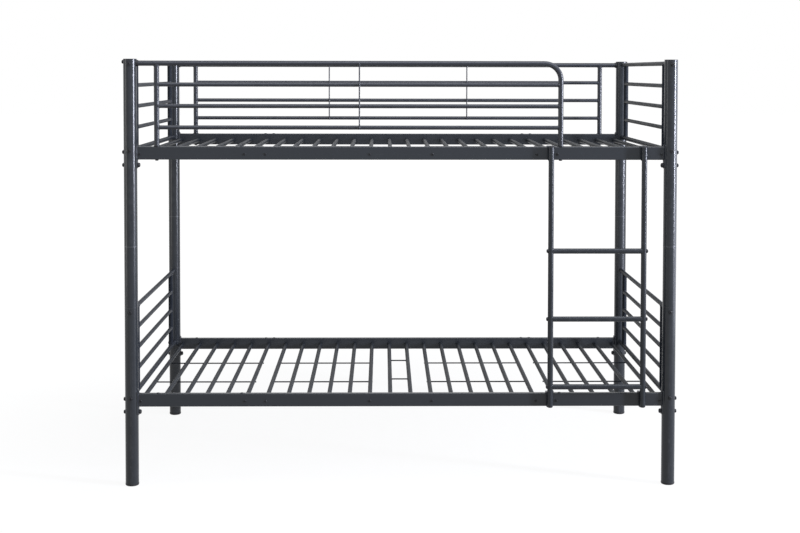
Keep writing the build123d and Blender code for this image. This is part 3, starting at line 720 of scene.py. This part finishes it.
def panel_levels(node_name):
    """A panel's x, the level of its bottom bar, its span and the levels of its thin bars."""
    low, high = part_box(node_name)
    bottom = low.z + panel_bottom
    span = high.z - panel_top - bottom
    middle = bottom + span * middle_share
    levels = [middle + step * span * bar_share for step in (-1, 0, 1)]
    return (low.x + high.x) / 2, bottom, span, levels


for bed, body in beds:
    for end in ("left", "right"):
        x, bottom, span, levels = panel_levels(f"{bed}_end_panel_{end}")
        beads = bmesh.new()
        for side in (-1, 1):
            inwards = along_y * -side
            for z in levels:
                joint = Vector((x, side * panel_side_y, z))
                weld_joint(beads, joint, inwards, along_z, panel_bar, panel_side, bar_bead)
            foot = Vector((x, side * panel_side_y, bottom))
            head = Vector((x, side * panel_side_y, bottom + span))
            weld_joint(beads, foot, along_z, along_y, panel_side, panel_bottom, upright_bead)
            weld_joint(beads, head, -along_z, along_y, panel_side, panel_top, upright_bead)
        finish_piece(f"{bed}_end_panel_{end}_welds", beads, weld_coat, body)

# %% [markdown]
# ### Guard welds
# The guards are made like the panels: bars between uprights, and uprights under a long tube.
# Their thin upright wires only touch the bars, and two short tacks hold each wire to each bar.

# %% Weld the guards
guard_tube = 9.5 * mm
guard_bar = 7.5 * mm
guard_wire = 2.5 * mm
bracket_rise = 7 * mm
bar_step = 76.44 * mm
guard_middle_share = 0.4862
front_wire_x = -149 * mm
back_wire_x = 296 * mm

frame_low, frame_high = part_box("front_guard_frame")
upper_rail_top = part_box("upper_side_rail_front")[1].z - bracket_rise
guard_top = frame_high.z - guard_tube
guard_middle = upper_rail_top + (guard_top - upper_rail_top) * guard_middle_share
guard_levels = [guard_middle + step * bar_step for step in (-1, 0, 1)]
front_y = (frame_low.y + frame_high.y) / 2
back_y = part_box("back_guard")[1].y - guard_tube
outer_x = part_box("front_guard_infill")[0].x + guard_tube
inner_x = frame_high.x - guard_tube


def weld_guard(shape, y, first_x, last_x, uprights, wires):
    """Bars between `first_x` and `last_x`, uprights under the long tube, wires before the bars."""
    for z in guard_levels:
        for x, way in ((first_x, along_x), (last_x, -along_x)):
            weld_joint(shape, Vector((x, y, z)), way, along_z, guard_bar, guard_tube, bar_bead)
        for x in wires:
            for side in (-1, 1):
                touch = Vector((x + side * guard_wire * 0.8, y - guard_bar - 0.6 * mm, z))
                weld_tack(shape, touch, along_z, tack_length, wire_bead, Vector((x, y, z)))
    for x in uprights:
        head = Vector((x, y, guard_top))
        weld_joint(shape, head, -along_z, along_x, guard_tube, guard_tube, upright_bead)


beads = bmesh.new()
weld_guard(beads, front_y, outer_x, inner_x, [outer_x], [front_wire_x])
finish_piece("front_guard_welds", beads, weld_coat, "upper_bunk")
beads = bmesh.new()
weld_guard(beads, back_y, outer_x, -outer_x, [outer_x, -outer_x], [-back_wire_x, back_wire_x])
finish_piece("back_guard_welds", beads, weld_coat, "upper_bunk")
print("guard bars at", [round(z, 4) for z in guard_levels], "m")

# %% [markdown]
# ### Deck welds
# Every slat crosses two thin tie wires, and a short bead on each side of the wire holds them.
# The narrow middle group of two slats has its wires at slat level instead, so there each wire
# ends in a full saddle bead. From below, these rows of beads are what shows a deck.

# %% Weld the decks
slat_tube = 8 * mm
tie_wire = 2.5 * mm
tie_y = 165 * mm

for bed, body in beds:
    beads = bmesh.new()
    for group in range(1, 6):
        low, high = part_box(f"{bed}_slat_panel_{group}")
        count = 2 if group == 3 else 6
        axis_z = high.z - slat_tube
        first_x = low.x + slat_tube
        step_x = (high.x - low.x - 2 * slat_tube) / (count - 1)
        for index in range(count):
            x = first_x + index * step_x
            for y in (-tie_y, tie_y):
                if count == 2:
                    way = along_x if index == 0 else -along_x
                    joint = Vector((x, y, axis_z))
                    weld_joint(beads, joint, way, along_y, tie_wire, slat_tube, wire_bead)
                    continue
                for side in (-1, 1):
                    touch = Vector((x, y + side * tie_wire * 0.9, axis_z - slat_tube - 0.5 * mm))
                    weld_tack(beads, touch, along_x, tack_length, wire_bead, Vector((x, y, axis_z)))
    finish_piece(f"{bed}_deck_welds", beads, weld_coat, body)

# %% [markdown]
# ### Rail welds
# A side rail is a rectangular tube welded square on to a curved saddle bracket, which bolts
# round the post. The bead runs all the way round the rail's end, so its line is the rail's
# rounded outline pushed on to the bracket's curve.

# %% Weld the rails to their brackets
rail_height = 47 * mm
rail_half = 10 * mm
rail_corner = 3 * mm
bracket_wall = 3.1 * mm


def rounded_outline(half_wide, half_high, corner, steps=6, gap=1.2 * mm):
    """Points round a rectangle with rounded corners, close enough together to carry a bead."""
    corners = []
    for place_x, place_y, start in ((1, 1, 0), (-1, 1, 1), (-1, -1, 2), (1, -1, 3)):
        for step in range(steps + 1):
            turn = math.tau * (start + step / steps) / 4
            wide = place_x * (half_wide - corner) + corner * math.cos(turn)
            high = place_y * (half_high - corner) + corner * math.sin(turn)
            corners.append((wide, high))
    outline = []
    for (a, b), (c, d) in zip(corners, corners[1:] + corners[:1]):
        parts = max(1, round(math.hypot(c - a, d - b) / gap))
        outline += [(a + (c - a) * k / parts, b + (d - b) * k / parts) for k in range(parts)]
    return outline


for bed, body in beds:
    beads = bmesh.new()
    for side_name in ("front", "back"):
        rail_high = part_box(f"{bed}_side_rail_{side_name}")[1]
        rail_middle = rail_high.z - bracket_rise - rail_height / 2
        for end_name, end in (("left", -1), ("right", 1)):
            post_low, post_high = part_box(f"{bed}_post_{side_name}_{end_name}")
            post = (post_low + post_high) / 2
            bracket = (post_high.x - post_low.x) / 2 + bracket_wall
            line = []
            for wide, high in rounded_outline(rail_half, rail_height / 2, rail_corner):
                reach = math.sqrt(bracket**2 - wide**2)
                line.append(Vector((post.x - end * reach, post.y + wide, rail_middle + high)))
            middle = Vector((post.x - end * bracket, post.y, rail_middle))
            add_bead(beads, line, upright_bead, middle)
    finish_piece(f"{bed}_rail_welds", beads, weld_coat, body)

# %% [markdown]
# ### Hook welds
# Each bent hook is stitched to the back of its stile by a pair of short beads at the top and
# the bottom of the contact, because one long bead would pull the thin tube out of true. These
# welds are out of sight in the photograph, so they follow common practice.

# %% Stitch the hooks to the stiles
stile_tube = 10 * mm
hook_reach = 50 * mm
hook_margin = 3 * mm
stitch_from_end = 9 * mm
stitch_length = 16 * mm

beads = bmesh.new()
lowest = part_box("ladder_hooks")[0].z + hook_margin
stitches = 0
for stile_name in ("ladder_stile_left", "ladder_stile_right"):
    stile_low, stile_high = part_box(stile_name)
    x = (stile_low.x + stile_high.x) / 2
    seam_y = stile_high.y - 0.6 * mm
    for low_z, high_z in (
        (max(lowest, stile_low.z + hook_margin), lowest + hook_reach - 2 * hook_margin),
        (stile_high.z - hook_reach, stile_high.z - hook_margin),
    ):
        for z in (low_z + stitch_from_end, high_z - stitch_from_end):
            middle = Vector((x, seam_y - stile_tube, z))
            for side in (-1, 1):
                touch = Vector((x + side * stile_tube * 0.34, seam_y, z))
                weld_tack(beads, touch, along_z, stitch_length, hook_bead, middle)
                stitches += 1
finish_piece("ladder_hook_welds", beads, weld_coat, "ladder")
print("stitches:", stitches)

# %% [markdown]
# ## Feet and caps
# The posts end in moulded plastic. A moulding has soft edges, a thin line where the two halves
# of the mould met, and a small dimple where the plastic was let in. All of that is round, so
# a profile of radius and height is drawn once and turned about its axis, as on a lathe.

# %% A tool that turns a profile
def turned_piece(shape, centre, way, profile, steps=40):
    """Turn (radius, height) points about the axis `way`; returns the last ring of points."""
    side = way.orthogonal().normalized()
    across = way.cross(side)
    rings = []
    for radius, height in profile:
        count = steps if radius > 0 else 1
        ring = []
        for k in range(count):
            turn = math.tau * k / steps
            offset = (side * math.cos(turn) + across * math.sin(turn)) * radius
            ring.append(shape.verts.new(centre + way * height + offset))
        rings.append(ring)
    for first, second in zip(rings, rings[1:]):
        for k in range(steps):
            n = (k + 1) % steps
            corners = [first[k % len(first)], first[n % len(first)]]
            corners += [second[n % len(second)], second[k % len(second)]]
            shape.faces.new(list(dict.fromkeys(corners)))
    return rings[-1]


def crease(shape, angle=0.6):
    """Keep real corners crisp while the rest is shaded smooth."""
    bmesh.ops.recalc_face_normals(shape, faces=shape.faces)
    for edge in shape.edges:
        if len(edge.link_faces) == 2 and edge.calc_face_angle(0) > angle:
            edge.smooth = False


def post_ends(node_names):
    """The centre line of each post, and its radius."""
    for node_name in node_names:
        low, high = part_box(node_name)
        yield (low.x + high.x) / 2, (low.y + high.y) / 2, (high.x - low.x) / 2


post_corners = [f"{depth}_{side}" for depth in ("front", "back") for side in ("left", "right")]

# %% [markdown]
# ### Feet
# Each foot is a cup pressed into the end of a post. It stands on a narrow rim, because a moulded
# disc is never quite flat, and it has a stem with ribs that grips the inside of the tube.

# %% Turn the four feet
foot_low, foot_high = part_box("foot_caps")
foot_wall = 9 * mm
foot_round = 5 * mm
foot_lip = 0.5 * mm
foot_hollow = 1.3 * mm
seam_depth = 0.25 * mm
stem_inset = 1.4 * mm
rib_pitch = 5 * mm
rib_rise = 0.9 * mm

feet = bmesh.new()
for x, y, radius in post_ends(f"lower_post_{corner}" for corner in post_corners):
    outer = radius + foot_lip
    stem = radius - stem_inset
    profile = [(0, foot_hollow), (outer - 8.4 * mm, foot_hollow)]
    profile += [(outer - 7.4 * mm, 0.1 * mm), (outer - 6.6 * mm, 0)]
    for step in range(8):
        turn = math.pi / 2 * step / 7
        inset = foot_round * (1 - math.sin(turn))
        profile.append((outer - inset, foot_round * (1 - math.cos(turn))))
    profile += [(outer, 7.2 * mm), (outer - seam_depth, 7.4 * mm)]
    profile += [(outer - seam_depth, 7.7 * mm), (outer, 7.9 * mm)]
    profile += [(outer, foot_wall - 0.4 * mm), (outer - 0.4 * mm, foot_wall), (stem, foot_wall)]
    for rib in range(4):
        base = foot_wall + 2 * mm + rib * rib_pitch
        profile += [(stem - rib_rise, base), (stem - rib_rise, base + 3 * mm)]
        profile += [(stem, base + 3.6 * mm), (stem, base + 4.6 * mm)]
    profile += [(stem - 1.5 * mm, foot_high.z), (0, foot_high.z)]
    turned_piece(feet, Vector((x, y, foot_low.z)), along_z, profile, 56)
crease(feet)
feet_piece = finish_piece("moulded_feet", feet, foot_plastic, "lower_bed")
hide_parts("foot_caps")

# %% [markdown]
# ### Top caps
# The caps on the four upper posts are thin lids. They crown by a fraction of a millimetre, and
# the dimple in the middle is where the mould was filled.

# %% Turn the four top caps
cap_low, cap_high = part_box("top_caps")
cap_lip = 0.2 * mm
cap_thickness = 2 * mm
stem_bevel = 0.8 * mm
caps = bmesh.new()
for x, y, radius in post_ends(f"upper_post_{corner}" for corner in post_corners):
    outer = radius + cap_lip
    stem = radius - stem_inset
    seat = cap_high.z - cap_thickness
    stem_end = cap_low.z - seat
    profile = [(0, stem_end), (stem - stem_bevel, stem_end), (stem, stem_end + stem_bevel), (stem, 0)]
    profile += [(outer - 0.1 * mm, 0), (outer, 0.15 * mm), (outer, 1.1 * mm)]
    profile += [(outer - 0.2 * mm, 1.45 * mm), (outer - 0.6 * mm, 1.66 * mm)]
    profile += [(outer * 0.8, 1.83 * mm), (outer * 0.5, 1.95 * mm), (outer * 0.2, cap_thickness)]
    profile += [(1.7 * mm, cap_thickness), (1.3 * mm, 1.7 * mm), (0, 1.6 * mm)]
    turned_piece(caps, Vector((x, y, seat)), along_z, profile, 56)
crease(caps)
caps_piece = finish_piece("moulded_top_caps", caps, cap_plastic, "upper_bunk")
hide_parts("top_caps")

# %% [markdown]
# ## Slat screws
# The outer slats of each group of six are held by a screw through the rail. It has a low domed
# head with a cross recess. The head and shank are turned, and the recess is a cross-shaped
# outline that is bridged to the head's rim and sunk to a smaller cross, as a punch does it.

# %% Make the slat screws
screw_radius = 2.5 * mm
screw_head = 4.8 * mm
screw_rise = 2.4 * mm
screw_length = 36.1 * mm
head_edge = 0.8 * mm
head_round = 1.9 * mm
slat_drop = 27 * mm


def cross_outline(arm, half):
    """The twelve corners of a cross, `arm` long from its centre and 2 * `half` wide."""
    return [
        (arm, -half), (arm, half), (half, half), (half, arm), (-half, arm), (-half, half),
        (-arm, half), (-arm, -half), (-half, -half), (-half, -arm), (half, -arm), (half, -half),
    ]


def add_screw(shape, seat, way):
    """A screw whose head sits on `seat` and faces along `way`."""
    profile = [(0, -screw_length), (1.6 * mm, -screw_length)]
    profile += [(screw_radius, 1.2 * mm - screw_length), (screw_radius, 0)]
    profile += [(screw_head, 0), (screw_head, head_edge)]
    for step in range(1, 6):
        turn = math.pi / 2 * step / 5
        inset = head_round * (1 - math.cos(turn))
        profile.append((screw_head - inset, head_edge + (screw_rise - head_edge) * math.sin(turn)))
    rim = turned_piece(shape, seat, way, profile, 24)
    side = way.orthogonal().normalized()
    across = way.cross(side)
    crosses = []
    for arm, half, height in (
        (2.1 * mm, 0.6 * mm, screw_rise),
        (1.1 * mm, 0.4 * mm, screw_rise - 1.5 * mm),
    ):
        level = seat + way * height
        corners = cross_outline(arm, half)
        crosses.append([shape.verts.new(level + side * a + across * b) for a, b in corners])
    mouth, floor_of_recess = crosses
    for k in range(len(mouth)):
        n = (k + 1) % len(mouth)
        shape.faces.new((mouth[k], mouth[n], floor_of_recess[n], floor_of_recess[k]))
    shape.faces.new(floor_of_recess)
    loops = []
    for loop in (rim, mouth):
        loops += [shape.edges.get((loop[k], loop[(k + 1) % len(loop)])) for k in range(len(loop))]
    bmesh.ops.bridge_loops(shape, edges=loops)


for bed, body in beds:
    screws = bmesh.new()
    count = 0
    box_low, box_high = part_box(f"{bed}_slat_screws")
    for side_name, side in (("front", -1), ("back", 1)):
        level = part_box(f"{bed}_side_rail_{side_name}")[1].z - bracket_rise - slat_drop
        face_y = box_low.y + screw_rise if side < 0 else box_high.y - screw_rise
        for group in (1, 2, 4, 5):
            low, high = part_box(f"{bed}_slat_panel_{group}")
            for x in (low.x + slat_tube, high.x - slat_tube):
                add_screw(screws, Vector((x, face_y, level)), along_y * side)
                count += 1
    crease(screws)
    piece = finish_piece(f"{bed}_cross_head_screws", screws, black_bolt, body)
    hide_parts(f"{bed}_slat_screws")
    print(bed, "screws:", count)
